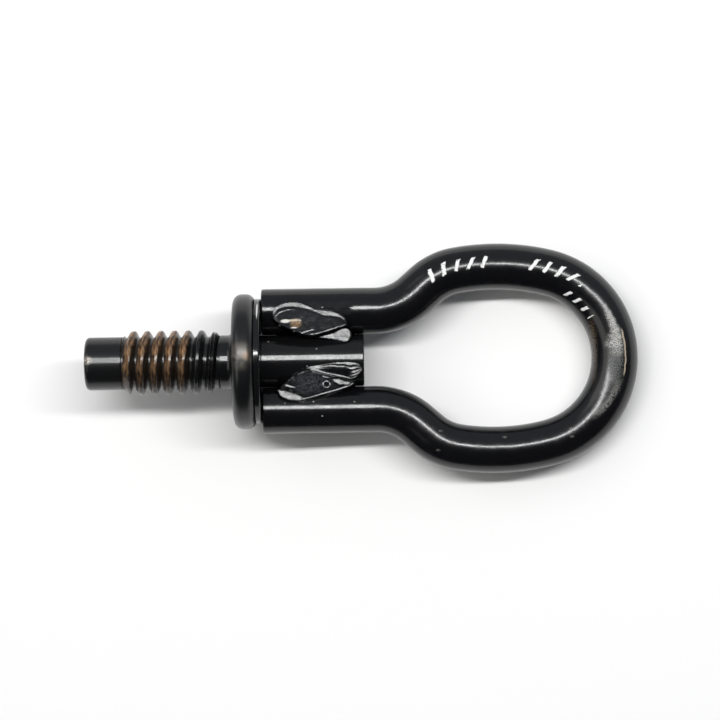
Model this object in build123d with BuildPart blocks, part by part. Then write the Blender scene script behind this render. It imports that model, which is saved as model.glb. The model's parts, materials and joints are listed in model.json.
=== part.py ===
from build123d import *
import os
from math import acos, atan2, cos, degrees, hypot, radians, sin

# Screw-in tow eye: a turned, flanged stud with a coarse left-hand thread, and a round bar bent to
# a keyhole-shaped eye whose two legs are welded along the stud's barrel.
# Millimetres. The origin is the middle of the flange's seat, the face that pulls up against the car.
# The eye lies on flat ground as it comes to rest: on the rim of its flange and the end of its loop.

# Pilot and thread
pilot_diameter = 15.5
pilot_length = 10.7
pilot_chamfer = 0.9
thread_diameter = 19.0
thread_root_diameter = 15.0
thread_pitch = 4.0
thread_length = 28.8
thread_lead_in = 2.6
thread_run_out = 1.8
thread_crest_width = 1.3
thread_foot_depth = 0.3
thread_foot_gap = 0.1
thread_early_start = 1.6

# Neck, flange and barrel
neck_diameter = 15.7
neck_length = 3.8
neck_chamfer = 1.9
flange_diameter = 39.6
flange_thickness = 6.5
flange_edge_radius = 2.6
step_diameter = 36.8
step_thickness = 1.7
step_chamfer = 0.6
barrel_diameter = 15.2
barrel_length = 30.0
barrel_chamfer = 0.5

# Loop: a straight leg, an outward bend, a short slant, a shoulder, a slightly bowed side and the end
bar_diameter = 13.6
bar_end_chamfer = 0.6
bar_end_gap = 0.1
leg_gap = 0.05
leg_length = 33.3
neck_bend_radius = 17.8
neck_bend_angle = 41.0
slant_length = 4.7
shoulder_radius = 17.4
bow_start_angle = 9.8
bow_radius = 66.0
bow_end_angle = 13.5

# Weld beads: where each starts behind the bar's end, how long it is and how far it bulges
upper_weld_start = 3.3
upper_weld_length = 23.0
upper_weld_bulge = 2.4
lower_weld_start = 5.3
lower_weld_length = 24.0
lower_weld_bulge = 2.0
back_weld_start = 4.3
back_weld_length = 23.0
back_weld_bulge = 1.2
weld_root_height = 1.5
weld_bite = 0.5

# Sections along a bead: the share of its length, how far its toes climb the barrel and the bar from
# the groove between them (degrees round each), and the share of its bulge. The front beads wander:
# both start up on the bar and run off towards the barrel.
upper_weld_sections = [
    (0.0, 22, 60, 0.25),
    (0.2, 28, 104, 0.85),
    (0.42, 34, 112, 1.0),
    (0.7, 44, 92, 0.7),
    (1.0, 30, 42, 0.3),
]
lower_weld_sections = [
    (0.0, 26, 40, 0.3),
    (0.2, 56, 70, 0.85),
    (0.42, 74, 66, 1.0),
    (0.7, 80, 48, 0.75),
    (1.0, 52, 26, 0.3),
]
back_weld_sections = [
    (0.0, 26, 32, 0.4),
    (0.2, 60, 72, 0.9),
    (0.42, 66, 80, 1.0),
    (0.7, 53, 64, 0.8),
    (1.0, 26, 32, 0.4),
]

pilot_radius = pilot_diameter / 2
crest_radius = thread_diameter / 2
root_radius = thread_root_diameter / 2
neck_radius = neck_diameter / 2
flange_radius = flange_diameter / 2
step_radius = step_diameter / 2
barrel_radius = barrel_diameter / 2
bar_radius = bar_diameter / 2

# Stations along the stud's axis, from the flange seat towards the eye
thread_end = -neck_length
thread_start = thread_end - thread_length
tip = thread_start - pilot_length
step_face = flange_thickness + step_thickness
barrel_end = step_face + barrel_length
bar_start = step_face + bar_end_gap
leg_offset = barrel_radius + leg_gap + bar_radius

# Reach of the loop's centre line: each bend adds its radius times the change in the sine of its heading
neck_bend = radians(neck_bend_angle)
bow_start = radians(bow_start_angle)
bow_end = radians(bow_end_angle)
bow_half_width = (
    leg_offset
    + neck_bend_radius * (1 - cos(neck_bend))
    + slant_length * sin(neck_bend)
    + shoulder_radius * (cos(bow_start) - cos(neck_bend))
    + bow_radius * (cos(bow_end) - cos(bow_start))
)
loop_end_radius = bow_half_width / cos(bow_end)
loop_reach = (
    bar_start
    + leg_length
    + neck_bend_radius * sin(neck_bend)
    + slant_length * cos(neck_bend)
    + shoulder_radius * (sin(neck_bend) - sin(bow_start))
    + bow_radius * (sin(bow_start) + sin(bow_end))
    + loop_end_radius * (1 - sin(bow_end))
)

# Lying angle: the flange's rounded rim and the bar at the loop's end touch the same level ground
rim_along = loop_reach - (flange_thickness - flange_edge_radius)
rim_out = flange_radius - flange_edge_radius
lying_angle = degrees(
    acos((bar_radius - flange_edge_radius) / hypot(rim_along, rim_out)) - atan2(rim_along, rim_out)
)

# Plane of the loop's centre line: X runs along the stud towards the eye, Y runs across the eye
lying = Plane.XY.rotated((0, lying_angle, 0))
stud_axis = Axis(lying.origin, lying.x_dir)
# Plane of the stud's half section: X runs along the stud, Y runs out from its axis
half_section = Plane(lying.origin, x_dir=lying.x_dir, z_dir=-lying.y_dir)


def across(along):
    """Plane square to the stud at a station: X runs across the eye, Y runs up from the loop's plane."""
    return Plane(lying.from_local_coords((along, 0, 0)), x_dir=lying.y_dir, z_dir=lying.x_dir)


# Left-hand thread ridge, swept over its whole length and trimmed to cones at both ends
with BuildPart() as thread_ridge:
    helix_start = thread_start - thread_early_start
    helix_centre = lying.from_local_coords((helix_start, 0, 0))
    with BuildLine() as thread_line:
        Helix(
            thread_pitch,
            thread_length + thread_pitch,
            root_radius,
            center=tuple(helix_centre),
            direction=tuple(lying.x_dir),
            lefthand=True,
        )
    helix_point = thread_line.line @ 0
    ridge_plane = Plane(
        helix_point, x_dir=helix_point - helix_centre, z_dir=thread_line.line % 0
    )
    ridge_height = crest_radius - root_radius
    crest_half_width = thread_crest_width / 2
    foot_half_width = (thread_pitch - thread_foot_gap) / 2
    with BuildSketch(ridge_plane):
        with BuildLine():
            Polyline(
                (-thread_foot_depth, -foot_half_width),
                (ridge_height, -crest_half_width),
                (ridge_height, crest_half_width),
                (-thread_foot_depth, foot_half_width),
                close=True,
            )
        make_face()
    sweep(path=thread_line.line, is_frenet=True)
    with BuildSketch(half_section):
        with BuildLine():
            Polyline(
                (thread_start, 0),
                (thread_start, root_radius),
                (thread_start + thread_lead_in * 2, root_radius + ridge_height * 2),
                (thread_end - thread_run_out * 2, root_radius + ridge_height * 2),
                (thread_end, root_radius),
                (thread_end, 0),
                close=True,
            )
        make_face()
    revolve(axis=stud_axis, mode=Mode.INTERSECT)

# Threaded stud: pilot tip, thread, neck, flange, step and barrel, turned as one piece
with BuildPart() as threaded_stud:
    with BuildSketch(half_section) as stud_profile:
        Rectangle(flange_thickness, flange_radius, align=Align.MIN)
        fillet(stud_profile.vertices().group_by(Axis.Y)[-1], flange_edge_radius)
        with Locations((flange_thickness / 2, 0)):
            Rectangle(step_face - flange_thickness / 2, step_radius, align=Align.MIN)
        step_corner = stud_profile.vertices().sort_by_distance((step_face, step_radius))[0]
        chamfer(step_corner, step_chamfer)
        with BuildLine():
            Polyline(
                (tip, 0),
                (tip, pilot_radius - pilot_chamfer),
                (tip + pilot_chamfer, pilot_radius),
                (thread_start, pilot_radius),
                (thread_start, root_radius),
                (thread_end, root_radius),
                (thread_end, neck_radius),
                (flange_thickness / 2, neck_radius),
                (flange_thickness / 2, barrel_radius),
                (barrel_end - barrel_chamfer, barrel_radius),
                (barrel_end, barrel_radius - barrel_chamfer),
                (barrel_end, 0),
                close=True,
            )
        make_face()
        neck_corner = stud_profile.vertices().sort_by_distance((0, neck_radius))[0]
        chamfer(neck_corner, neck_chamfer)
    revolve(axis=stud_axis)
    add(thread_ridge.part)
threaded_stud.part.label = "threaded_stud"

# Loop bar: one round bar bent from one leg round the eye to the other, cut square at both ends
with BuildPart() as loop_bar:
    with BuildLine(lying) as bar_line:
        leg = Line((bar_start, leg_offset), (bar_start + leg_length, leg_offset))
        neck_bend_arc = JernArc(leg @ 1, leg % 1, neck_bend_radius, neck_bend_angle)
        slant = Line(neck_bend_arc @ 1, neck_bend_arc @ 1 + (neck_bend_arc % 1) * slant_length)
        shoulder = JernArc(slant @ 1, slant % 1, shoulder_radius, bow_start_angle - neck_bend_angle)
        bow = JernArc(shoulder @ 1, shoulder % 1, bow_radius, -bow_start_angle - bow_end_angle)
        JernArc(bow @ 1, bow % 1, loop_end_radius, bow_end_angle - 90)
        mirror(about=Plane.XZ)
    with BuildSketch(across(bar_start)):
        with Locations((leg_offset, 0)):
            Circle(bar_radius)
    sweep(path=bar_line.wires()[0])
    chamfer(loop_bar.faces().filter_by(GeomType.PLANE).edges(), bar_end_chamfer)
loop_bar.part.label = "loop_bar"


def bead_points(side, face, barrel_angle, bar_angle, bulge):
    """Outline of a bead's section: toe on the barrel, crown, toe on the bar, and two root corners."""
    barrel_turn = radians(barrel_angle)
    bar_turn = radians(bar_angle)
    bar_centre = Vector(leg_offset, 0)
    barrel_toe = Vector(cos(barrel_turn), sin(barrel_turn)) * (barrel_radius - weld_bite)
    bar_toe = bar_centre + Vector(-cos(bar_turn), sin(bar_turn)) * (bar_radius - weld_bite)
    toe_line = bar_toe - barrel_toe
    outward = Vector(-toe_line.Y, toe_line.X).normalized()
    crown = (barrel_toe + bar_toe) * 0.5 + outward * (weld_bite + bulge)
    root_depth = weld_bite + weld_root_height / 2
    barrel_root = Vector(barrel_radius - root_depth, weld_root_height)
    bar_root = Vector(leg_offset - bar_radius + root_depth, weld_root_height)
    outline = (barrel_toe, crown, bar_toe, bar_root, barrel_root)
    return [(side * point.X, face * point.Y) for point in outline]


# Weld beads by name: the leg's side, the face, the start, the length, the bulge and the sections
weld_beads = {
    "weld_upper_front": (1, 1, upper_weld_start, upper_weld_length, upper_weld_bulge, upper_weld_sections),
    "weld_lower_front": (-1, 1, lower_weld_start, lower_weld_length, lower_weld_bulge, lower_weld_sections),
    "weld_upper_back": (1, -1, back_weld_start, back_weld_length, back_weld_bulge, back_weld_sections),
    "weld_lower_back": (-1, -1, back_weld_start, back_weld_length, back_weld_bulge, back_weld_sections),
}

# Each bead is lofted along the groove between barrel and bar, then cut to lie on both
os.makedirs("parts", exist_ok=True)
for bead_name, (side, face, start, length, bulge, sections) in weld_beads.items():
    with BuildPart() as weld:
        for length_share, barrel_angle, bar_angle, bulge_share in sections:
            barrel_toe, crown, bar_toe, bar_root, barrel_root = bead_points(
                side, face, barrel_angle, bar_angle, bulge * bulge_share
            )
            with BuildSketch(across(bar_start + start + length * length_share)):
                with BuildLine():
                    ThreePointArc(barrel_toe, crown, bar_toe)
                    Polyline(bar_toe, bar_root, barrel_root, barrel_toe)
                make_face()
        loft()
        add(threaded_stud.part, mode=Mode.SUBTRACT)
        add(loop_bar.part, mode=Mode.SUBTRACT)
    weld.part.label = bead_name
    export_step(weld.part, f"parts/{bead_name}.step")

export_step(threaded_stud.part, "parts/threaded_stud.step")
export_step(loop_bar.part, "parts/loop_bar.step")
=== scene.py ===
import bpy
import json
from math import atan2, ceil, cos, exp, floor, hypot, pi, radians, sin, sqrt, tan
from mathutils import Matrix, Vector, noise


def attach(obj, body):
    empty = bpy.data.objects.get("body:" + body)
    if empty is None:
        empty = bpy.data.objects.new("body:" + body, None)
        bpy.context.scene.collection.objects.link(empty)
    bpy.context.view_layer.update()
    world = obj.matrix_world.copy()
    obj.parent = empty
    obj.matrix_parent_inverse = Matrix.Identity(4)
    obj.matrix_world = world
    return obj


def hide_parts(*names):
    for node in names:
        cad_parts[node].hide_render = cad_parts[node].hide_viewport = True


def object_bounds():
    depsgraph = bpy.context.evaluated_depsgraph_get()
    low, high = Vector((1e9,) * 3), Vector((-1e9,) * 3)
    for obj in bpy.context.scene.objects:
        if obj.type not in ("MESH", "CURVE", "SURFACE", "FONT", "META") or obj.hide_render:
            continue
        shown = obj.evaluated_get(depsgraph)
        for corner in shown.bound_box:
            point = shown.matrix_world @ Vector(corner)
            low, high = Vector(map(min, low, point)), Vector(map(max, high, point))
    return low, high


# A screw-in tow eye lying on a pale table: a rusty left-hand thread, a worn flange and a loop of
# thick gloss black paint, welded on. Sizes are in millimetres and are turned to metres in the meshes.
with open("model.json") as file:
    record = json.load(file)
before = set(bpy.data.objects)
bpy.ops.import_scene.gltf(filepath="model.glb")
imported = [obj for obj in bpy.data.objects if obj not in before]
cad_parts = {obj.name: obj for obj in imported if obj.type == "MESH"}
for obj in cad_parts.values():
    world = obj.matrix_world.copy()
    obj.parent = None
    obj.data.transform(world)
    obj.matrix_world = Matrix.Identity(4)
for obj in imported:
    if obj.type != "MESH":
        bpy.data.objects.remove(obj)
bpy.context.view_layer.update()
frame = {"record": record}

MM = 0.001

# The stud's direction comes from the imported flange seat, and the lying angle from that
mounts = {mount["name"]: mount for mount in frame["record"]["mounts"]}
stud_direction = -Vector(mounts["flange_seat"]["axis"])
lying_angle = atan2(-stud_direction.z, stud_direction.x)
lying = Matrix.Rotation(lying_angle, 4, "Y")
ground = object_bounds()[0].z

# Stud, from the tip to the end of the barrel; stations run along its axis from the flange seat
tip, thread_start, thread_end = -43.28, -32.6, -3.8
pilot_edge, shoulder_edge, cap_radius = 1.3, 0.1, 0.4
pilot_radius = mounts["pilot"]["dims"]["r_mm"]
crest_radius, root_radius, pitch = mounts["thread"]["dims"]["r_mm"], 7.5, 4.0
thread_lead_in, thread_run_out, crest_phase = 2.6, 1.8, 0.7
last_turn_start, last_turn_full, rust_end = -9.0, -7.5, -12.6
ridge_crest, ridge_foot = 0.3, 1.85
neck_radius, neck_fillet = 7.85, 1.9
flange_radius, flange_thickness, flange_edge = 19.78, 6.5, 2.6
step_radius, step_face, step_edge = 18.4, 8.2, 0.6
barrel_radius, barrel_end, barrel_edge, barrel_fillet = 7.6, 38.2, 0.5, 0.3
flat_angle, flat_depth = radians(85), 0.035

# Loop: a straight leg, a bend outwards, a slant, a shoulder, a bow and a round end; angles in degrees
bar_radius, bar_edge, bar_start, leg_offset = 6.8, 0.6, 8.3, 14.45
dent_depth, dent_size = 0.03, 6.0
leg_length, slant_length = 33.3, 4.7
neck_bend_radius, neck_bend_angle = 17.8, 41.0
shoulder_radius, bow_start_angle = 17.4, 9.8
bow_radius, bow_end_angle = 66.0, 13.5

# Flats on the legs: a narrow band along the top, leaning a little to the side of the upper leg, and
# two flats beside the upper weld that meet in a low ridge
band_lean, band_change, band_depth, band_end, band_fade = 0.089, 0.00123, 0.02, 46.0, 8.0
dressed_start, dressed_end, dressed_fade = 22.0, 35.2, 1.2
dressed_ridge, dressed_half_angle = radians(85), radians(9)

# White tick strokes along the bar: rows of (start, end, middle round the bar, half height), in
# millimetres from the upper leg's end and round from the top of the bar
mark_rows = [(51.0, 70.6, 0.9, 1.9), (81.0, 98.0, 0.9, 1.9), (94.0, 107.4, -4.4, 1.3)]
mark_spacing, mark_width, mark_lean = 3.9, 0.55, 0.45

# Scratch round the loop's end
loop_end_centre, scratch_radius = 85.9, 28.6

# Chips in the paint and spatter beside the welds: places and half sizes, as (along, across)
paint_chips = [(98.1, -21.1), (98.1, -23.4), (59.3, -26.8), (60.1, -21.2), (78.7, -23.3)]
bar_spatter = [(14.9, -12.6), (23.3, -12.2), (25.8, -16.4), (35.2, -12.4), (26.3, 15.2)]
barrel_spatter = [(10.4, 5.5), (24.4, 3.1), (20.4, -2.7), (21.6, -1.9)]
chip_size, spatter_size = (0.6, 0.3), (0.24, 0.18)

# Rubbed paint round the loop's end with a painted highlight along it, as rows of (along, across, half
# width, strength)
rubbed_and_highlight_places = [
    (108.7, 13.2, 0.5, 0.5), (109.6, 11.4, 0.8, 0.8), (110.5, 9.4, 1.0, 1.0), (111.3, 7.2, 1.3, 1.0),
    (111.3, 5.2, 1.9, 1.0), (111.2, 3.4, 2.3, 1.0), (111.6, 1.5, 1.9, 0.5),
]
# Painted highlight, with rubbed paint, that runs on from there as a ring about a point on the eye's
# middle line
rim_centre, rim_radius, rim_half_width, rim_share = 91.0, 22.4, 0.9, 0.45

# Colours of the paint, the steel, the weld and what lies on them, with painted highlights, sheen and
# shade among them
paint_black, steel_black = (0.0035, 0.0036, 0.0044), (0.0045, 0.0047, 0.0052)
weld_black, weld_sheen_blue = (0.0028, 0.0030, 0.0038), (0.034, 0.039, 0.049)
scuff_grey, rubbed_and_highlight_grey, worn_brown = (0.040, 0.044, 0.040), (0.46, 0.45, 0.42), (0.15, 0.105, 0.060)
chip_grey, spatter_grey, tip_chip_grey = (0.12, 0.11, 0.10), (0.36, 0.35, 0.33), (0.42, 0.37, 0.30)
scratch_tan, stroke_white = (0.44, 0.37, 0.28), (0.82, 0.82, 0.81)
rust_dark, rust_light, thread_dark_and_shade = (0.040, 0.020, 0.010), (0.25, 0.140, 0.068), (0.010, 0.007, 0.005)
flange_wear_and_highlight, flange_rust, painted_highlight_white = (0.105, 0.094, 0.076), (0.21, 0.135, 0.075), (0.62, 0.62, 0.60)
pit_dark, pit_light, pit_rim_and_highlight = (0.10, 0.048, 0.016), (0.38, 0.25, 0.13), (0.52, 0.41, 0.28)
bare_weld_and_glint = (0.66, 0.64, 0.60)


def wobble(x, y, z, size, seed=0.0):
    """Smooth noise from -1 to 1 at a point, with lumps of about that size."""
    return noise.noise(Vector((x / size + seed, y / size - seed, z / size + 2 * seed)))


def smooth(low, high, value):
    """0 below low, 1 above high, and an even rise between."""
    share = min(max((value - low) / (high - low), 0.0), 1.0)
    return share * share * (3 - 2 * share)


def between(value, table):
    """The value of a table of (station, value) pairs at a station, on a smooth curve through them."""
    stations = [row[0] for row in table]
    values = [row[1] for row in table]
    if value <= stations[0]:
        return values[0]
    for i in range(len(table) - 1):
        if value <= stations[i + 1]:
            before, after = max(i - 1, 0), min(i + 2, len(table) - 1)
            width = stations[i + 1] - stations[i]
            slope_in = (values[i + 1] - values[before]) / (stations[i + 1] - stations[before]) * width
            slope_out = (values[after] - values[i]) / (stations[after] - stations[i]) * width
            t = (value - stations[i]) / width
            return (
                values[i] * (2 * t**3 - 3 * t**2 + 1)
                + slope_in * (t**3 - 2 * t**2 + t)
                + values[i + 1] * (3 * t**2 - 2 * t**3)
                + slope_out * (t**3 - t**2)
            )
    return values[-1]


def make_piece(name, points, faces, material, node, sharp=35, chart=None):
    """A closed mesh in the stud's own axes, laid down as the eye lies, in place of its CAD node."""
    mesh = bpy.data.meshes.new(name)
    mesh.from_pydata([lying @ (Vector(point) * MM) for point in points], [], faces)
    mesh.shade_smooth()
    mesh.set_sharp_from_angle(angle=radians(sharp))
    mesh.materials.append(material)
    if chart:
        layer = mesh.uv_layers.new(name="chart")
        for corner in mesh.loops:
            layer.data[corner.index].uv = chart[corner.vertex_index]
    piece = bpy.data.objects.new(name, mesh)
    bpy.context.scene.collection.objects.link(piece)
    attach(piece, "root")
    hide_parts(node)


def tube_faces(rows, columns):
    """Quads between closed rings that follow one another, with a cap at each end."""
    faces = []
    for row in range(rows - 1):
        start = row * columns
        for column in range(columns):
            after = (column + 1) % columns
            faces.append(
                (start + column, start + after, start + columns + after, start + columns + column)
            )
    last = (rows - 1) * columns
    faces.append(tuple(range(columns - 1, -1, -1)))
    faces.append(tuple(range(last, last + columns)))
    return faces


def rounded_outline(corners, longest):
    """Points along an outline of (along, out, corner radius), with arcs at the corners."""
    points = [Vector(corners[0][:2])]
    for i in range(1, len(corners) - 1):
        here = Vector(corners[i][:2])
        back = (Vector(corners[i - 1][:2]) - here).normalized()
        ahead = (Vector(corners[i + 1][:2]) - here).normalized()
        radius = corners[i][2]
        if radius == 0:
            points.append(here)
            continue
        half = back.angle(ahead) / 2
        centre = here + (back + ahead).normalized() * (radius / sin(half))
        start = here + back * (radius / tan(half)) - centre
        end = here + ahead * (radius / tan(half)) - centre
        steps = 9
        for step in range(steps + 1):
            share = step / steps
            points.append(centre + start.lerp(end, share).normalized() * radius)
    points.append(Vector(corners[-1][:2]))
    filled = [points[0]]
    for point in points[1:]:
        gap = (point - filled[-1]).length
        pieces = max(1, ceil(gap / longest))
        start = filled[-1]
        filled.extend(start.lerp(point, (n + 1) / pieces) for n in range(pieces))
    return filled


# Materials


class Shader:
    """A procedural material whose coordinates are millimetres along, across and above the stud."""

    def __init__(self, name):
        self.material = bpy.data.materials.new(name)
        self.material.use_nodes = True
        self.tree = self.material.node_tree
        self.surface = self.tree.nodes["Principled BSDF"]
        coordinates = self.tree.nodes.new("ShaderNodeTexCoord")
        level = self.tree.nodes.new("ShaderNodeVectorRotate")
        level.rotation_type = "Y_AXIS"
        level.inputs["Angle"].default_value = -lying_angle
        self.tree.links.new(coordinates.outputs["Object"], level.inputs["Vector"])
        scale = self.tree.nodes.new("ShaderNodeVectorMath")
        scale.operation = "SCALE"
        scale.inputs["Scale"].default_value = 1 / MM
        self.tree.links.new(level.outputs[0], scale.inputs[0])
        self.place = scale.outputs[0]
        split = self.tree.nodes.new("ShaderNodeSeparateXYZ")
        self.tree.links.new(self.place, split.inputs[0])
        self.along, self.across, self.above = split.outputs

    def feed(self, socket, value):
        """A link, or a constant set on the socket itself."""
        if isinstance(value, bpy.types.NodeSocket):
            self.tree.links.new(value, socket)
        else:
            socket.default_value = value

    def math(self, operation, a, b=0.0):
        """One step of arithmetic on values or sockets."""
        step = self.tree.nodes.new("ShaderNodeMath")
        step.operation = operation
        self.feed(step.inputs[0], a)
        self.feed(step.inputs[1], b)
        return step.outputs[0]

    def ramp(self, value, low, high, low_value=0.0, high_value=1.0):
        """An even change of value from low_value to high_value."""
        step = self.tree.nodes.new("ShaderNodeMapRange")
        step.interpolation_type = "SMOOTHSTEP"
        self.feed(step.inputs["Value"], value)
        step.inputs["From Min"].default_value = low
        step.inputs["From Max"].default_value = high
        step.inputs["To Min"].default_value = low_value
        step.inputs["To Max"].default_value = high_value
        return step.outputs[0]

    def vector(self, x, y, z):
        """A place of its own for a pattern."""
        step = self.tree.nodes.new("ShaderNodeCombineXYZ")
        for socket, value in zip(step.inputs, (x, y, z)):
            self.feed(socket, value)
        return step.outputs[0]

    def noise(self, size, detail=3.0, place=None):
        """Noise from 0 to 1 with lumps of that size in millimetres."""
        step = self.tree.nodes.new("ShaderNodeTexNoise")
        step.inputs["Scale"].default_value = 1 / size
        step.inputs["Detail"].default_value = detail
        step.inputs["Roughness"].default_value = 0.55
        self.tree.links.new(place or self.place, step.inputs["Vector"])
        return step.outputs["Fac"]

    def spot(self, centre, radii, edge=0.35):
        """1 within an ellipsoid about a place, fading to 0 outside it."""
        away = self.tree.nodes.new("ShaderNodeVectorMath")
        away.operation = "SUBTRACT"
        self.tree.links.new(self.place, away.inputs[0])
        away.inputs[1].default_value = centre
        sized = self.tree.nodes.new("ShaderNodeVectorMath")
        sized.operation = "DIVIDE"
        self.tree.links.new(away.outputs[0], sized.inputs[0])
        sized.inputs[1].default_value = radii
        distance = self.tree.nodes.new("ShaderNodeVectorMath")
        distance.operation = "LENGTH"
        self.tree.links.new(sized.outputs[0], distance.inputs[0])
        return self.ramp(distance.outputs["Value"], 1 - edge, 1 + edge, 1.0, 0.0)

    def ring(self, along, radius, half_width):
        """1 on a ring about a point on the eye's middle line, fading to 0 beside it."""
        reach = self.tree.nodes.new("ShaderNodeVectorMath")
        reach.operation = "LENGTH"
        flat = self.vector(self.math("SUBTRACT", self.along, along), self.across, 0.0)
        self.tree.links.new(flat, reach.inputs[0])
        off = self.math("ABSOLUTE", self.math("SUBTRACT", reach.outputs["Value"], radius))
        return self.ramp(off, 0.3 * half_width, 1.6 * half_width, 1.0, 0.0)

    def specks(self, places, radii, grain):
        """Share of small ragged specks on top of the eye, at places (along, across)."""
        share = 0.0
        level, reach, edge = 6.0, 4.0, 0.6
        for along, across in places:
            speck = self.spot((along, across, level), (*radii, reach), edge)
            share = self.either(share, self.both(speck, self.ramp(grain, 0.40, 0.52)))
        return share

    def mix(self, share, a, b):
        """Colours a and b, blended by a share."""
        step = self.tree.nodes.new("ShaderNodeMix")
        step.data_type = "RGBA"
        self.feed(step.inputs["Factor"], share)
        self.feed(step.inputs[6], a if isinstance(a, bpy.types.NodeSocket) else (*a, 1.0))
        self.feed(step.inputs[7], b if isinstance(b, bpy.types.NodeSocket) else (*b, 1.0))
        return step.outputs[2]

    def blend(self, share, a, b):
        """Values a and b, blended by a share."""
        step = self.tree.nodes.new("ShaderNodeMix")
        self.feed(step.inputs["Factor"], share)
        self.feed(step.inputs["A"], a)
        self.feed(step.inputs["B"], b)
        return step.outputs["Result"]

    def either(self, a, b):
        """The larger of two shares."""
        return self.math("MAXIMUM", a, b)

    def both(self, *shares):
        """The product of shares."""
        result = shares[0]
        for share in shares[1:]:
            result = self.math("MULTIPLY", result, share)
        return result

    def finish(self, colour, roughness, height, depth):
        """Colour, roughness and a height map in millimetres on the surface."""
        bump = self.tree.nodes.new("ShaderNodeBump")
        bump.inputs["Strength"].default_value = 1.0
        bump.inputs["Distance"].default_value = depth * MM
        self.feed(bump.inputs["Height"], height)
        self.feed(self.surface.inputs["Base Color"], colour)
        self.feed(self.surface.inputs["Roughness"], roughness)
        self.tree.links.new(bump.outputs[0], self.surface.inputs["Normal"])
        return self.material


def tick_strokes(paint):
    """Share of white paint on the bar: rows of uneven strokes, each with its own lean and height."""
    chart = paint.tree.nodes.new("ShaderNodeUVMap")
    chart.uv_map = "chart"
    split = paint.tree.nodes.new("ShaderNodeSeparateXYZ")
    paint.tree.links.new(chart.outputs[0], split.inputs[0])
    ragged = paint.math("MULTIPLY", paint.math("SUBTRACT", paint.noise(1.2, 3.0), 0.5), 1.4)
    length = paint.math("ADD", split.outputs[0], ragged)
    round_bar = paint.math("ADD", split.outputs[1], ragged)
    strokes = 0.0
    for start, end, middle, reach in mark_rows:
        turn = paint.math("DIVIDE", paint.math("SUBTRACT", split.outputs[0], start), mark_spacing)
        number = paint.math("FLOOR", turn)
        chance = paint.tree.nodes.new("ShaderNodeTexWhiteNoise")
        chance.noise_dimensions = "1D"
        paint.tree.links.new(paint.math("ADD", number, start), chance.inputs["W"])
        off_middle = paint.math("SUBTRACT", round_bar, middle)
        lean = paint.ramp(chance.outputs["Value"], 0.0, 1.0, mark_lean - 0.25, mark_lean + 0.25)
        leaning = paint.math("MULTIPLY", off_middle, lean)
        middle_along = paint.math("MULTIPLY", paint.math("ADD", number, 0.5), mark_spacing)
        along = paint.math("SUBTRACT", paint.math("SUBTRACT", length, start), middle_along)
        away = paint.math("ABSOLUTE", paint.math("SUBTRACT", along, leaning))
        high = paint.math("ABSOLUTE", off_middle)
        high = paint.math("ADD", high, paint.math("MULTIPLY", chance.outputs["Value"], 0.5))
        row = paint.both(
            paint.ramp(away, mark_width - 0.12, mark_width + 0.12, 1.0, 0.0),
            paint.ramp(high, reach - 0.1, reach + 0.2, 1.0, 0.0),
            paint.math("GREATER_THAN", split.outputs[0], start),
            paint.math("LESS_THAN", split.outputs[0], end),
        )
        strokes = paint.either(strokes, row)
    upper_half = paint.math("GREATER_THAN", paint.above, 0.5)
    return paint.both(strokes, upper_half, paint.ramp(paint.noise(0.5, 2.0), 0.28, 0.40))


def end_scratch(paint):
    """Share of a thin scratch that follows the loop's end."""
    from_end = paint.tree.nodes.new("ShaderNodeVectorMath")
    from_end.operation = "DISTANCE"
    from_end.inputs[1].default_value = (loop_end_centre, 0.0, 6.4)
    paint.tree.links.new(paint.place, from_end.inputs[0])
    off_line = paint.math("SUBTRACT", from_end.outputs["Value"], scratch_radius)
    off_line = paint.math("ADD", off_line, paint.math("MULTIPLY", paint.noise(2.0, 3.0), 0.6))
    line = paint.ramp(paint.math("ABSOLUTE", off_line), 0.10, 0.30, 1.0, 0.0)
    return paint.both(line, paint.spot((113.6, 1.0, 6.5), (2.5, 6.5, 3.0), 0.15))


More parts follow.
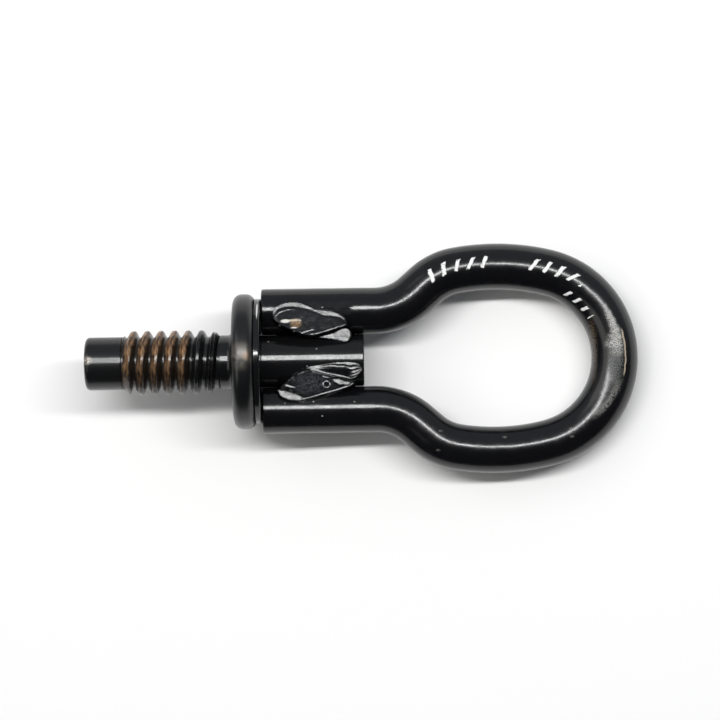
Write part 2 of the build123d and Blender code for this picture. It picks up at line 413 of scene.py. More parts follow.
def black_paint():
    """Thick gloss black paint on the loop, scuffed round its end with a painted highlight along the
    rubbed places, with white strokes on the bar.
    """
    paint = Shader("black_paint")
    lumps = paint.noise(2.4, 3.0)
    grain = paint.noise(0.35, 3.0)
    end = paint.spot((111.6, -1.6, 6.0), (2.2, 8.4, 3.5), 0.4)
    scuffs = paint.both(end, paint.ramp(paint.noise(0.34, 2.0), 0.40, 0.62))
    # Rubbed paint round the loop's end, painted pale along the line of the highlight, and a ring below
    # it that carries on as a painted highlight on the lower bend.
    rubbed_and_highlight = 0.0
    for along, across, width, share in rubbed_and_highlight_places:
        streak = paint.spot((along, across, 6.2), (width, 1.5, 3.5), 0.6)
        rubbed_and_highlight = paint.either(rubbed_and_highlight, paint.math("MULTIPLY", streak, share))
    rim = paint.both(
        paint.ring(rim_centre, rim_radius, rim_half_width),
        paint.ramp(paint.across, -19.5, -15.0, 0.0, rim_share),
        paint.ramp(paint.across, -11.0, -5.5, 1.0, 0.0),
        paint.ramp(paint.above, 2.0, 3.0),
    )
    rubbed_and_highlight = paint.either(rubbed_and_highlight, rim)
    rubbed_and_highlight = paint.both(rubbed_and_highlight, paint.ramp(paint.noise(0.32, 2.0), 0.36, 0.62))
    inner = paint.spot((104.7, 2.0, 4.2), (1.3, 7.5, 2.4), 0.6)
    worn = paint.both(inner, paint.ramp(paint.noise(0.45, 5.0), 0.38, 0.68))
    chips = paint.specks(paint_chips, chip_size, grain)
    spatter = paint.specks(bar_spatter, spatter_size, grain)
    scratch = end_scratch(paint)
    strokes = tick_strokes(paint)
    colour = paint.mix(scuffs, paint_black, scuff_grey)
    colour = paint.mix(rubbed_and_highlight, colour, rubbed_and_highlight_grey)
    colour = paint.mix(worn, colour, worn_brown)
    colour = paint.mix(chips, colour, chip_grey)
    colour = paint.mix(spatter, colour, spatter_grey)
    colour = paint.mix(scratch, colour, scratch_tan)
    colour = paint.mix(strokes, colour, stroke_white)
    roughness = paint.ramp(lumps, 0.3, 0.75, 0.165, 0.235)
    roughness = paint.blend(paint.ramp(paint.along, 103.0, 111.0), roughness, 0.23)
    roughness = paint.blend(paint.either(paint.either(scuffs, rubbed_and_highlight), worn), roughness, 0.44)
    roughness = paint.blend(strokes, roughness, 0.5)
    rough_end = paint.math("MULTIPLY", grain, paint.blend(paint.either(end, worn), 0.10, 0.9))
    height = paint.math("ADD", lumps, rough_end)
    height = paint.math("ADD", height, paint.math("MULTIPLY", strokes, 1.5))
    return paint.finish(colour, roughness, height, 0.03)


def thread_rust(steel):
    """Colour and roughness of the thread: brown rust, partly painted light, on the flanks towards the
    tip and widened on the upper side; painted shade in the dark shiny grooves and on the lower side.
    """
    angle = steel.math("DIVIDE", steel.math("ARCTAN2", steel.above, steel.across), 2 * pi)
    turn = steel.math("ADD", steel.math("DIVIDE", steel.along, pitch), angle)
    turn = steel.math("SUBTRACT", turn, crest_phase)
    side = steel.math("SUBTRACT", turn, steel.math("ROUND", turn))
    ragged = steel.math("MULTIPLY", steel.math("SUBTRACT", steel.noise(1.2, 4.0), 0.5), 0.22)
    ridge_place = steel.vector(
        steel.math("MULTIPLY", side, 3.0),
        steel.math("MULTIPLY", steel.across, 0.22),
        steel.math("MULTIPLY", steel.above, 0.22),
    )
    streaks = steel.noise(0.55, 3.0, ridge_place)
    side = steel.math("ADD", side, ragged)
    # Painted light and shade: the brown band widens on the upper side and dims towards the lower side,
    # and the grooves between stay dark as painted shade.
    painted_light_widening = steel.ramp(steel.across, -1.0, 7.0, 0.0, 0.20)
    flank = steel.both(
        steel.ramp(side, -0.44, -0.34),
        steel.ramp(steel.math("SUBTRACT", side, painted_light_widening), -0.04, 0.12, 1.0, 0.0),
    )
    brown = steel.mix(steel.ramp(streaks, 0.38, 0.64), rust_dark, rust_light)
    rust_and_painted_light = steel.both(flank, steel.ramp(steel.across, -7.0, 3.0, 0.25, 1.0))
    colour = steel.mix(rust_and_painted_light, thread_dark_and_shade, brown)
    crest = steel.both(steel.ramp(side, -0.26, -0.14), steel.ramp(side, 0.02, 0.10, 1.0, 0.0))
    roughness = steel.blend(flank, 0.20, 0.52)
    return colour, steel.blend(crest, roughness, 0.16)


def stud_steel():
    """Black-finished steel: satin pilot and flange, rust on the front of the thread, gloss behind it."""
    steel = Shader("stud_steel")
    lumps = steel.noise(1.1, 5.0)
    grain = steel.noise(0.30, 3.0)
    blotch = steel.noise(2.6, 4.0)
    on_thread = steel.both(
        steel.ramp(steel.along, thread_start - 0.6, thread_start + 0.6),
        steel.ramp(steel.along, rust_end - 1.0, rust_end + 1.0, 1.0, 0.0),
    )
    rusty = steel.both(on_thread, steel.ramp(blotch, 0.26, 0.44))
    rust_colour, rust_roughness = thread_rust(steel)
    colour = steel.mix(rusty, steel_black, rust_colour)
    # Pale worn patch on the flange's crown, with a painted highlight in it.
    worn_patch_and_highlight = steel.both(
        steel.spot((2.9, 1.0, 19.5), (2.9, 3.2, 3.0), 0.6), steel.ramp(blotch, 0.25, 0.6)
    )
    colour = steel.mix(worn_patch_and_highlight, colour, flange_wear_and_highlight)
    rust_spot = steel.spot((4.3, 1.0, 19.5), (0.8, 1.2, 2.0), 0.7)
    colour = steel.mix(rust_spot, colour, flange_rust)
    chips = steel.both(
        steel.spot((-42.2, 0.7, 7.4), (1.3, 1.1, 1.5), 0.5), steel.ramp(grain, 0.46, 0.54)
    )
    colour = steel.mix(chips, colour, tip_chip_grey)
    spatter = steel.specks(barrel_spatter, spatter_size, grain)
    colour = steel.mix(spatter, colour, spatter_grey)
    # Thin pale streak on the step's edge: a painted highlight.
    edge = steel.spot((7.4, 14.4, 11.4), (0.22, 3.4, 3.8), 0.25)
    colour = steel.mix(edge, colour, painted_highlight_white)
    behind_flange = steel.ramp(steel.along, flange_thickness - 0.2, flange_thickness + 0.2)
    flange = steel.both(
        steel.ramp(steel.along, -0.3, 0.2), steel.math("SUBTRACT", 1.0, behind_flange)
    )
    step = steel.both(
        behind_flange, steel.ramp(steel.along, step_face + 0.1, step_face + 0.4, 1.0, 0.0)
    )
    roughness = steel.ramp(lumps, 0.25, 0.75, 0.17, 0.23)
    pilot = steel.ramp(steel.along, thread_start - 0.6, thread_start, 1.0, 0.0)
    roughness = steel.blend(pilot, roughness, 0.27)
    roughness = steel.blend(flange, roughness, 0.29)
    roughness = steel.blend(step, roughness, 0.12)
    roughness = steel.blend(rusty, roughness, rust_roughness)
    rough_rust = steel.math("MULTIPLY", grain, steel.blend(rusty, 0.06, 0.6))
    height = steel.math("ADD", steel.math("MULTIPLY", lumps, 0.3), rough_rust)
    return steel.finish(colour, roughness, height, 0.05)


def painted_weld():
    """Weld bead under gloss black paint: a rusted pit with a pale rim, partly painted highlight, bare
    places with a painted glint and a bluish painted sheen.
    """
    weld = Shader("painted_weld")
    lumps = weld.noise(1.6, 4.0)
    grain = weld.noise(0.35, 3.0)
    # Bare places by the pit, painted pale as a glint: bare metal and painted highlight.
    bare_and_glint = weld.either(
        weld.spot((15.5, 11.25, 7.5), (1.3, 0.5, 3.0), 0.4),
        weld.spot((18.0, 9.3, 7.5), (0.9, 0.2, 3.0), 0.5),
    )
    bare_and_glint = weld.either(bare_and_glint, weld.specks([(13.8, 10.1), (18.0, 8.3)], (0.3, 0.22), grain))
    # Pale rim above the pit: rust with a painted highlight along it.
    rim = weld.spot((17.9, 11.45, 7.5), (1.7, 0.3, 3.0), 0.6)
    pit = weld.both(
        weld.spot((18.5, 10.5, 7.0), (1.5, 1.2, 3.0), 0.5),
        weld.ramp(weld.noise(0.75, 3.0), 0.30, 0.42),
    )
    rust = weld.mix(weld.ramp(grain, 0.40, 0.66), pit_dark, pit_light)
    # Bluish painted sheen over the middle of each front weld.
    painted_sheen = weld.either(
        weld.math("MULTIPLY", weld.spot((20.5, 12.7, 7.5), (6.5, 2.3, 4.0), 0.6), 0.25),
        weld.spot((22.5, -6.8, 7.5), (4.4, 2.6, 4.0), 0.6),
    )
    painted_sheen = weld.both(painted_sheen, weld.ramp(weld.noise(0.6, 5.0), 0.36, 0.70))
    colour = weld.mix(painted_sheen, weld_black, weld_sheen_blue)
    colour = weld.mix(pit, colour, rust)
    colour = weld.mix(rim, colour, pit_rim_and_highlight)
    colour = weld.mix(bare_and_glint, colour, bare_weld_and_glint)
    stripped = weld.either(weld.either(bare_and_glint, rim), pit)
    roughness = weld.blend(stripped, weld.ramp(lumps, 0.3, 0.75, 0.15, 0.24), 0.5)
    height = weld.math("ADD", lumps, weld.math("MULTIPLY", grain, 0.25))
    return weld.finish(colour, roughness, height, 0.07)


# Stud: a turned outline spun round its axis, with the thread's rounded ridge raised on it
def thread_radius(along, angle):
    """Radius of the rounded left-hand ridge at a station and an angle from the eye's width."""
    turn = along / pitch + angle / (2 * pi) - crest_phase
    from_crest = abs(turn - round(turn)) * pitch
    ridge = smooth(ridge_foot, ridge_crest, from_crest)
    ridge *= 1 - 0.05 * (1 + wobble(along, 8 * cos(angle), 8 * sin(angle), 1.7))
    last_turn = smooth(last_turn_start, last_turn_full, along)
    ridge -= last_turn * (0.15 + 0.35 * exp(-((from_crest / 0.35) ** 2)))
    height = crest_radius - root_radius
    height_in = height * (along - thread_start) / thread_lead_in
    height_out = height * (thread_end - along) / thread_run_out
    return root_radius + max(0.0, min(height * ridge, height_in, height_out))


def turned_radius(along, radius, angle):
    """Radius of a turned surface whose finish lies flat in a narrow band along the top."""
    off_flat = angle - flat_angle
    if abs(off_flat) > pi / 8 or radius > crest_radius:
        return radius
    depth = flat_depth * (1 + 0.35 * wobble(along, radius, 0, 1.4))
    return min(radius, (radius - depth) / cos(off_flat))


def make_stud(material):
    columns, longest_gap, thread_gap = 240, 1.2, 0.12
    outline = rounded_outline(
        [
            (tip, cap_radius, 0),
            (tip, pilot_radius, pilot_edge),
            (thread_start, pilot_radius, shoulder_edge),
            (thread_start, root_radius, 0),
            (thread_end, root_radius, 0),
            (thread_end, neck_radius, shoulder_edge),
            (0.0, neck_radius, neck_fillet),
            (0.0, flange_radius, flange_edge),
            (flange_thickness, flange_radius, flange_edge),
            (flange_thickness, step_radius, 0),
            (step_face, step_radius, step_edge),
            (step_face, barrel_radius, barrel_fillet),
            (barrel_end, barrel_radius, barrel_edge),
            (barrel_end, cap_radius, 0),
        ],
        longest_gap,
    )
    before = [point for point in outline if point.x < thread_start + 0.001]
    after = [point for point in outline if point.x > thread_end - 0.001]
    rows = round((thread_end - thread_start) / thread_gap)
    thread = [
        Vector((thread_start + (thread_end - thread_start) * row / rows, root_radius))
        for row in range(1, rows)
    ]
    stations = before + thread + after
    points = []
    for along, out in stations:
        threaded = thread_start < along < thread_end
        for column in range(columns):
            angle = 2 * pi * column / columns
            radius = thread_radius(along, angle) if threaded else turned_radius(along, out, angle)
            points.append((along, radius * cos(angle), radius * sin(angle)))
    faces = tube_faces(len(stations), columns)
    make_piece("threaded_stud_fine", points, faces, material, "threaded_stud")


# Loop: a round bar swept along its bends
def bar_path(step):
    """Places and headings along the bar's centre line, from the upper leg round to the lower one."""
    bow_turn = bow_start_angle + bow_end_angle
    half_width = (
        leg_offset
        + neck_bend_radius * (1 - cos(radians(neck_bend_angle)))
        + slant_length * sin(radians(neck_bend_angle))
        + shoulder_radius * (cos(radians(bow_start_angle)) - cos(radians(neck_bend_angle)))
        + bow_radius * (cos(radians(bow_end_angle)) - cos(radians(bow_start_angle)))
    )
    end_radius = half_width / cos(radians(bow_end_angle))
    runs = [
        (leg_length, 0.0),
        (neck_bend_radius * radians(neck_bend_angle), 1 / neck_bend_radius),
        (slant_length, 0.0),
        (shoulder_radius * radians(neck_bend_angle - bow_start_angle), -1 / shoulder_radius),
        (bow_radius * radians(bow_turn), -1 / bow_radius),
        (end_radius * radians(90 - bow_end_angle), -1 / end_radius),
    ]
    place, heading = Vector((bar_start, leg_offset)), 0.0
    half = [(place.copy(), heading)]
    for length, bend in runs:
        steps = ceil(length / step)
        part = length / steps
        chord = part if bend == 0 else 2 / bend * sin(part * bend / 2)
        for _ in range(steps):
            middle = heading + part * bend / 2
            place = place + Vector((cos(middle), sin(middle))) * chord
            heading += part * bend
            half.append((place.copy(), heading))
    back = [(Vector((p.x, -p.y)), pi - h) for p, h in reversed(half[:-1])]
    return half + [(p, h - 2 * pi) for p, h in back]


def bar_profile(place, heading, angle, on_upper_leg):
    """Radius of the bar round its centre line, with its flats."""
    if place.x > band_end or abs(angle - pi / 2) > pi / 6:
        return bar_radius
    off_band = angle - pi / 2 + (band_lean - band_change * place.y) / cos(heading)
    depth = band_depth * smooth(band_end, band_end - band_fade, place.x)
    radius = min(bar_radius, (bar_radius - depth) / cos(off_band))
    if on_upper_leg:
        dressed = smooth(dressed_start, dressed_start + dressed_fade, place.x)
        dressed *= smooth(dressed_end, dressed_end - dressed_fade, place.x)
        off_flat = abs(angle - dressed_ridge) - dressed_half_angle
        flat = min(bar_radius, bar_radius * cos(dressed_half_angle) / cos(off_flat))
        radius += (flat - radius) * dressed
    return radius


def end_rings(place, heading):
    """Rings of the rounded edge at an end of the bar, from its end face inwards."""
    steps = 9
    rings = []
    for step in range(steps):
        turn = pi / 2 * step / steps
        inwards = Vector((bar_edge * (1 - cos(turn)), 0))
        rings.append((place + inwards, heading, bar_radius - bar_edge * (1 - sin(turn))))
    return rings


def make_loop(material):
    columns, spacing = 144, 0.6
    path = bar_path(spacing)
    body = [(place, heading, bar_radius) for place, heading in path[2:-2]]
    rings = end_rings(*path[0]) + body + end_rings(*path[-1])[::-1]
    points, chart = [], []
    length, before = 0.0, rings[0][0]
    for place, heading, out in rings:
        across = Vector((-sin(heading), cos(heading)))
        length += (place - before).length
        before = place
        for column in range(columns):
            angle = 2 * pi * column / columns
            chart.append((length, bar_radius * (pi / 2 - angle)))
            x, y = place + across * (out * cos(angle))
            dent = dent_depth * (1 + wobble(x, y, out * sin(angle), dent_size))
            radius = out / bar_radius * bar_profile(place, heading, angle, length < leg_length) - dent
            x, y = place + across * (radius * cos(angle))
            points.append((x, y, radius * sin(angle)))
    faces = tube_faces(len(rings), columns)
    make_piece(
        "loop_bar_fine", points, faces, material, "loop_bar", sharp=12, chart=chart
    )


# Welds: a sheet of weld metal over the groove between the barrel and the bar
weld_grain, weld_grain_size, ledge_slope = 0.02, 1.3, 0.09
toe_sink, sheet_sink = 0.1, 0.5


def groove(out):
    """Height of the barrel and the bar above the loop's plane, at a distance out from the axis."""
    barrel = sqrt(max(barrel_radius**2 - out**2, 0.0))
    bar = sqrt(max(bar_radius**2 - (out - leg_offset) ** 2, 0.0))
    return max(barrel, bar)


def make_weld(name, side, face, lines, columns, fill, material, rows):
    """Closed sheet of weld over the groove, of a given height, with its quads in rows along it.

    The lines are tables of (station, distance out), from the toe on the barrel to the toe on the
    bar, and columns is how many quads lie between each line and the next.
    """
    start, end = lines[0][0][0], lines[0][-1][0]
    top, bottom = [], []
    for row in range(rows + 1):
        along = start + (end - start) * row / rows
        marks = [between(along, line) for line in lines]
        outs = [marks[0]]
        for low, high, count in zip(marks, marks[1:], columns):
            outs += [low + (high - low) * (n + 1) / count for n in range(count)]
        for column, out in enumerate(outs):
            seat = groove(out)
            rim = row in (0, rows) or column in (0, len(outs) - 1)
            height = seat - toe_sink if rim else max(fill(along, out), seat - toe_sink)
            top.append((along, side * out, face * height))
            bottom.append((along, side * out, face * (seat - sheet_sink)))
    points = top + bottom
    width = sum(columns) + 1
    below = len(top)
    faces = []
    for row in range(rows):
        for column in range(width - 1):
            a = row * width + column
            quad = (a, a + width, a + width + 1, a + 1)
            faces.append(quad)
            faces.append(tuple(below + corner for corner in reversed(quad)))
    border = list(range(width - 1))
    border += [row * width + width - 1 for row in range(rows)]
    border += [rows * width + column for column in range(width - 1, 0, -1)]
    border += [row * width for row in range(rows, 0, -1)]
    for a, b in zip(border, border[1:] + border[:1]):
        faces.append((a, b, below + b, below + a))
    if side * face < 0:
        faces = [tuple(reversed(corners)) for corners in faces]
    make_piece(name + "_fine", points, faces, material, name)


def with_ledges(fill, ledges, slope):
    """The same height with ledges in it, each a line of (station, distance out, half width)."""
    lines = [([row[:2] for row in ledge], [row[::2] for row in ledge]) for ledge in ledges]
    waver, waver_size, end_fade = 0.3, 1.5, 0.5

    def height(along, out):
        level = fill(along, out)
        for places, half_widths in lines:
            start, end = places[0][0], places[-1][0]
            if not start < along < end:
                continue
            middle, half_width = between(along, places), between(along, half_widths)
            half_width *= 1 + waver * wobble(along, middle, 0, waver_size, 7.0)
            if abs(out - middle) < 1.4 * half_width:
                share = exp(-(((out - middle) / half_width) ** 6))
                share *= smooth(start, start + end_fade, along) * smooth(end, end - end_fade, along)
                level += (fill(along, middle) + slope * (out - middle) - level) * share
        return level

    return height


# Upper front weld: a crown near the barrel, a long face down to the bar with a pit, and a shelf at the
# end towards the loop
upper_barrel_toe = [
    (11.4, 12.2), (12.4, 10.4), (14.7, 8.9), (19.4, 7.0), (22.5, 6.2), (24.6, 6.2), (28.5, 5.8),
    (31.8, 5.1), (33.4, 5.2), (34.4, 6.0), (34.8, 7.0),
]
upper_bar_toe = [
    (11.4, 13.0), (12.5, 15.3), (14.6, 16.6), (17.0, 16.9), (19.7, 16.7), (22.0, 15.9), (24.1, 14.9),
    (28.0, 14.5), (31.0, 13.6), (33.2, 11.8), (34.4, 9.6), (34.8, 8.6),
]
upper_crown = [
    (11.4, 12.5), (12.4, 11.7), (14.7, 10.0), (19.4, 7.9), (22.5, 7.2), (28.5, 8.5), (33.2, 9.9),
    (34.8, 7.9),
]
upper_height = [
    (11.4, 7.0), (13.0, 7.9), (14.7, 8.4), (17.0, 8.65), (20.0, 8.75), (23.3, 8.8), (26.0, 8.6),
    (28.5, 8.35), (31.0, 8.05), (33.0, 7.65), (34.0, 6.6), (34.8, 5.4),
]
upper_shelf = [
    (22.0, 5.8), (24.6, 5.7), (28.0, 5.5), (31.3, 5.7), (33.2, 5.6), (34.4, 5.3), (34.8, 4.8),
]
upper_ledges = [
    [
        (11.2, 12.3, 0.5), (12.6, 14.6, 0.8), (14.6, 15.9, 0.9), (17.0, 16.2, 1.0), (19.5, 16.0, 1.0),
        (22.0, 15.2, 0.75), (24.1, 14.3, 0.6), (26.5, 13.6, 1.1), (29.0, 13.2, 1.0), (31.2, 12.6, 0.5),
        (33.4, 11.0, 0.3),
    ],
    [(11.8, 11.5, 0.3), (12.8, 12.8, 0.45), (13.9, 13.8, 0.42), (16.0, 14.5, 0.3), (18.5, 14.6, 0.15)],
    [(22.3, 7.3, 0.26), (24.1, 7.4, 0.28), (28.5, 8.65, 0.28), (33.6, 10.1, 0.28)],
    [(19.0, 7.3, 0.25), (21.5, 8.1, 0.42), (24.1, 8.8, 0.22)],
    [(13.9, 11.1, 0.3), (15.2, 11.3, 0.6), (16.4, 11.4, 0.6), (17.4, 11.5, 0.3)],
]
shelf_start, shelf_full, shelf_fall, shelf_lip = 21.5, 24.5, 0.07, 0.35
shelf_drop, drop_reach, drop_bend = 3.4, 1.1, 1.6
pit_along, pit_out, pit_length, pit_width, pit_depth = 18.9, 10.7, 1.1, 0.8, 0.3
bar_toe_drop = 0.25


def upper_front_fill(along, out):
    """Height of the upper front weld: a wall or a shelf on the barrel, then a face down to the bar."""
    low, high = between(along, upper_barrel_toe), between(along, upper_bar_toe)
    crown, height = between(along, upper_crown), between(along, upper_height)
    grain = weld_grain * wobble(along, out, 0, weld_grain_size)
    if out < crown:
        share = (crown - out) / max(crown - low, 0.01)
        wall = height - (height - groove(low)) * (0.35 * share + 0.65 * share**2.2)
        shelf = between(along, upper_shelf) - shelf_fall * (out - low)
        shelf -= (shelf - groove(low)) * smooth(low + shelf_lip, low, out)
        steep = height - shelf_drop * ((crown - out) / drop_reach) ** drop_bend
        shelved = smooth(shelf_start, shelf_full, along)
        return wall * (1 - shelved) + max(steep, shelf) * shelved + grain
    share = (out - crown) / max(high - crown, 0.01)
    face = height - (height - groove(high) - bar_toe_drop) * share
    face -= bar_toe_drop * smooth(0.93, 1.0, share)
    from_pit = ((along - pit_along) / pit_length) ** 2 + ((out - pit_out) / pit_width) ** 2
    return face - pit_depth * exp(-from_pit) + grain


# Lower front weld: a streaked facet on the barrel with a wedge that falls to a ridge line, then a
# nearly level body with a gas bubble and a crown by the bar
lower_barrel_toe = [
    (12.8, 8.4), (14.4, 6.8), (17.7, 4.2), (20.8, 2.4), (25.4, 1.6), (31.1, 0.8), (36.1, 1.2),
    (37.7, 2.6),
]
lower_bar_toe = [
    (12.8, 9.2), (14.6, 11.1), (17.6, 12.3), (21.0, 12.3), (23.6, 11.7), (27.7, 10.6), (32.4, 9.2),
    (34.9, 7.9), (36.2, 6.3), (37.7, 3.3),
]
lower_ridge = [
    (12.8, 8.5), (14.4, 6.9), (17.7, 4.3), (22.2, 2.5), (23.3, 2.9), (26.9, 3.8), (31.5, 4.7),
    (34.4, 5.6), (36.2, 4.9), (37.7, 2.9),
]
lower_crown = [
    (12.8, 8.9), (14.6, 10.0), (17.6, 11.1), (21.0, 11.1), (23.6, 10.6), (27.7, 9.5), (32.4, 8.2),
    (34.9, 7.0), (36.2, 5.7), (37.7, 3.1),
]
lower_height = [
    (12.8, 6.7), (14.6, 7.0), (17.6, 7.3), (21.0, 7.5), (27.7, 7.25), (32.4, 6.9), (34.9, 6.5),
    (36.2, 6.2), (37.7, 6.9),
]
lower_ledges = [
    [
        (12.9, 8.95, 0.5), (14.1, 9.8, 1.4), (16.0, 10.45, 1.9), (17.8, 10.85, 1.6), (19.3, 11.1, 1.0),
        (20.8, 11.3, 0.3),
    ],
    [
        (19.5, 11.5, 0.22), (21.5, 11.1, 0.26), (23.6, 10.55, 0.3), (26.4, 9.8, 0.36), (30.6, 8.7, 0.34),
        (34.0, 7.5, 0.45), (35.5, 6.7, 0.3),
    ],
    [(18.8, 12.0, 0.16), (20.5, 12.0, 0.18), (23.0, 11.5, 0.14)],
    [(22.0, 2.45, 0.3), (23.3, 2.95, 0.32), (26.9, 3.9, 0.34), (31.5, 4.8, 0.36), (34.9, 5.8, 0.3)],
    [(14.9, 7.2, 0.3), (15.6, 7.35, 0.5), (16.7, 7.7, 0.45), (18.4, 8.1, 0.3)],
    [(28.9, 5.9, 0.3), (30.2, 6.3, 0.9), (31.6, 6.7, 1.0), (33.2, 7.0, 0.6), (34.3, 7.0, 0.3)],
    [(25.6, 4.7, 0.15), (26.6, 5.0, 0.3), (28.4, 5.4, 0.15)],
]
bubble_along, bubble_out = 27.2, 7.2
bubble_ring_edge, bubble_hole_edge = (1.28, 1.14), (0.78, 0.64)
bubble_lift, bubble_depth, bubble_lean = 0.03, 0.3, 0.45
facet_stripes, facet_rise, body_rise, body_edge = 4, 0.09, -0.05, 0.6
facet_start, facet_full, early_slope = 20.5, 22.5, -0.2
streaks_start, streaks_full = 23.5, 29.0
wedge_full, wedge_end, wedge_fall = 33.4, 35.2, 0.22


def lower_front_fill(along, out):
    """Height of the lower front weld: the facet up to the ridge line, then the body to the bar."""
    low, high = between(along, lower_barrel_toe), between(along, lower_bar_toe)
    crown, height = between(along, lower_crown), between(along, lower_height)
    ridge = between(along, lower_ridge)
    grain = weld_grain * wobble(along, out, 0, weld_grain_size, 3.0)
    if out > crown:
        share = (out - crown) / max(high - crown, 0.01)
        return height - (height - groove(high)) * share**1.7 + grain
    stripe_width = max((ridge - low) / facet_stripes, 0.01)
    from_low = (min(out, ridge) - low) / stripe_width
    stripe = from_low + 0.7 * wobble(along, out, 0, 4.4, 5.0)
    tread = stripe - floor(stripe)
    tread_end = 0.5 + 0.4 * wobble(along, out, 0, 2.2, 9.0)
    back = tread_end / (1 - tread_end)
    steps = min(tread, tread_end) - back * max(tread - tread_end, 0.0)
    striped = smooth(streaks_start, streaks_full, along)
    facet_slope = early_slope + (facet_rise - early_slope) * smooth(facet_start, facet_full, along)
    facet = groove(low) + facet_slope * stripe_width * (from_low + (steps - from_low) * striped)
    facet += 0.015 * striped * wobble(along, out, 0, 0.7, 4.0)
    wedge = max(min(out, ridge) - 0.5 * (low + ridge), 0.0) * smooth(wedge_end, wedge_full, along)
    facet -= wedge_fall * wedge * striped
    body = height - body_rise * (crown - out)
    from_bubble = hypot(along - bubble_along, out - bubble_out)
    ring = (facet_rise - body_rise) * (out - bubble_out) + bubble_lift
    body += ring * smooth(*bubble_ring_edge, from_bubble)
    hole = bubble_depth + bubble_lean * (out - bubble_out)
    body -= hole * smooth(*bubble_hole_edge, from_bubble)
    share = smooth(ridge, ridge + body_edge, out)
    return facet * (1 - share) + body * share + grain


# Back welds: plain convex beads with ripples across them
back_barrel_toe = [(12.6, 6.2), (15.0, 3.8), (24.0, 3.1), (31.0, 3.9), (35.6, 6.0)]
back_bar_toe = [(12.6, 9.0), (15.0, 11.6), (24.0, 13.0), (31.0, 12.0), (35.6, 9.2)]
back_bulge, ripple_height, ripple_spacing, ripple_bow = 0.8, 0.10, 1.9, 2.2


def back_fill(along, out):
    """Height of a back weld: an arch over the groove, with ripples that bow along it."""
    low, high = between(along, back_barrel_toe), between(along, back_bar_toe)
    share = (out - low) / max(high - low, 0.01)
    line = groove(low) + (groove(high) - groove(low)) * share
    arch = sin(pi * share)
    ripple = ripple_height * sin(2 * pi * along / ripple_spacing + ripple_bow * arch)
    return line + (back_bulge + ripple) * arch


def make_welds(material):
    front_rows, back_rows = 220, 110
    upper_fill = with_ledges(upper_front_fill, upper_ledges, -ledge_slope)
    lower_fill = with_ledges(lower_front_fill, lower_ledges, ledge_slope)
    upper_lines = [upper_barrel_toe, upper_crown, upper_bar_toe]
    lower_lines = [lower_barrel_toe, lower_ridge, lower_crown, lower_bar_toe]
    back_lines = [back_barrel_toe, back_bar_toe]
    make_weld("weld_upper_front", 1, 1, upper_lines, (30, 90), upper_fill, material, front_rows)
    make_weld("weld_lower_front", -1, 1, lower_lines, (44, 60, 20), lower_fill, material, front_rows)
    make_weld("weld_upper_back", 1, -1, back_lines, (50,), back_fill, material, back_rows)
    make_weld("weld_lower_back", -1, -1, back_lines, (50,), back_fill, material, back_rows)


make_stud(stud_steel())
make_loop(black_paint())
make_welds(painted_weld())


# Table, light and camera; the table and the lights are sized in metres
eye_middle = 37.0


def make_table():
    """A plain pale table top under the eye."""
    size = 3.0
    mesh = bpy.data.meshes.new("table")
    corners = [(-size, -size), (size, -size), (size, size), (-size, size)]
    mesh.from_pydata([(x, y, ground) for x, y in corners], [], [(0, 1, 2, 3)])
    table = bpy.data.objects.new("table", mesh)
    bpy.context.scene.collection.objects.link(table)
    material = bpy.data.materials.new("table")
    material.use_nodes = True
    surface = material.node_tree.nodes["Principled BSDF"]
    surface.inputs["Base Color"].default_value = (0.925, 0.92, 0.915, 1.0)
    surface.inputs["Roughness"].default_value = 0.7
    surface.inputs["Specular IOR Level"].default_value = 0.2
    mesh.materials.append(material)


def make_light(name, direction, distance, length, width, radiance, colour):
    """A flat light facing the middle of the eye, of a given radiance."""
    middle = lying @ Vector((eye_middle * MM, 0, 0))
    light = bpy.data.lights.new(name, "AREA")
    light.shape = "RECTANGLE"
    light.size, light.size_y = length, width
    light.energy = radiance * pi * length * width
    light.color = colour
    lamp = bpy.data.objects.new(name, light)
    back = (lying.to_3x3() @ Vector(direction)).normalized()
    side = lying.to_3x3() @ Vector((1, 0, 0))
    side = (side - back * side.dot(back)).normalized()
    turn = Matrix((side, back.cross(side), back)).transposed().to_4x4()
    lamp.matrix_world = Matrix.Translation(middle + back * distance) @ turn
    bpy.context.scene.collection.objects.link(lamp)


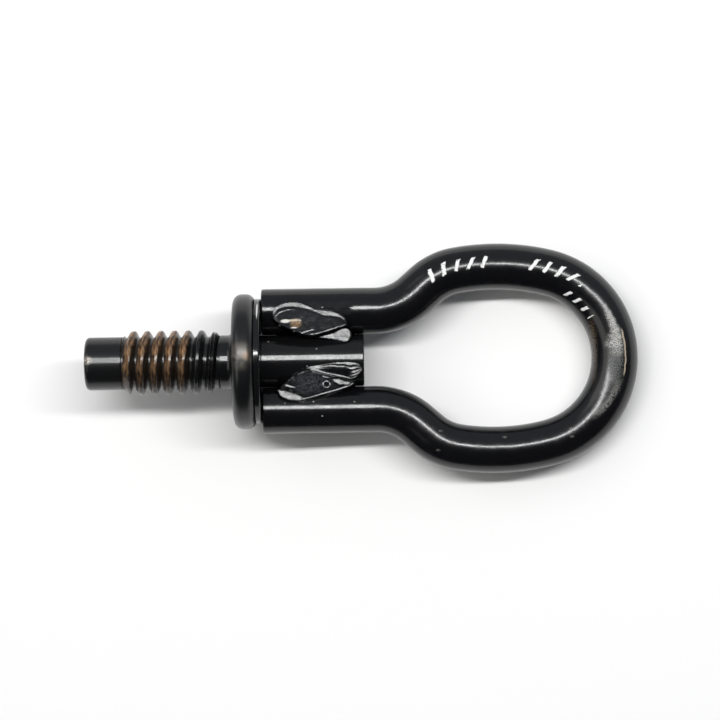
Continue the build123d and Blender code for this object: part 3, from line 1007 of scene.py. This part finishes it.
def make_world():
    """A dim room, brighter and a little blue on the side of the eye's upper leg."""
    world = bpy.data.worlds.new("room")
    bpy.context.scene.world = world
    world.use_nodes = True
    tree = world.node_tree
    background = tree.nodes["Background"]
    background.inputs["Color"].default_value = (0.94, 1.0, 1.08, 1.0)
    direction = tree.nodes.new("ShaderNodeTexCoord")
    split = tree.nodes.new("ShaderNodeSeparateXYZ")
    tree.links.new(direction.outputs["Generated"], split.inputs[0])
    glow = tree.nodes.new("ShaderNodeMapRange")
    glow.interpolation_type = "SMOOTHSTEP"
    glow.inputs["From Min"].default_value = -0.25
    glow.inputs["From Max"].default_value = 0.55
    glow.inputs["To Min"].default_value = 0.03
    glow.inputs["To Max"].default_value = 0.36
    tree.links.new(split.outputs["Y"], glow.inputs["Value"])
    tree.links.new(glow.outputs[0], background.inputs["Strength"])


def make_camera():
    """Camera straight above the loop's plane, a little from the lower side of the picture."""
    distance, roll, tilt = 703.9, radians(0.86), radians(2.55)
    look = Vector((0, tan(tilt), -1)).normalized()
    right = (Vector((1, 0, 0)) - look * look.x).normalized()
    up = right.cross(look)
    image_right = right * cos(roll) - up * sin(roll)
    image_up = right * sin(roll) + up * cos(roll)
    turn = Matrix((image_right, image_up, -look)).transposed().to_4x4()
    place = (Vector((eye_middle, 0, 0)) - look * distance) * MM
    data = bpy.data.cameras.new("camera")
    data.sensor_width, data.lens = 36.0, 120.0
    data.clip_start, data.clip_end = 0.05, 20.0
    camera = bpy.data.objects.new("camera", data)
    camera.matrix_world = lying @ Matrix.Translation(place) @ turn
    bpy.context.scene.collection.objects.link(camera)
    bpy.context.scene.camera = camera


make_table()
make_light(
    "long_light", (0.0, tan(radians(12.5)), 1.0),
    distance=1.0, length=1.3, width=0.07, radiance=36.0, colour=(1.0, 1.0, 1.0),
)
make_light(
    "left_fill", (-1.0, 0.1, 1.0),
    distance=1.2, length=0.7, width=1.6, radiance=1.3, colour=(1.0, 0.98, 0.94),
)
make_world()
make_camera()
bpy.context.scene.view_settings.view_transform = "Standard"
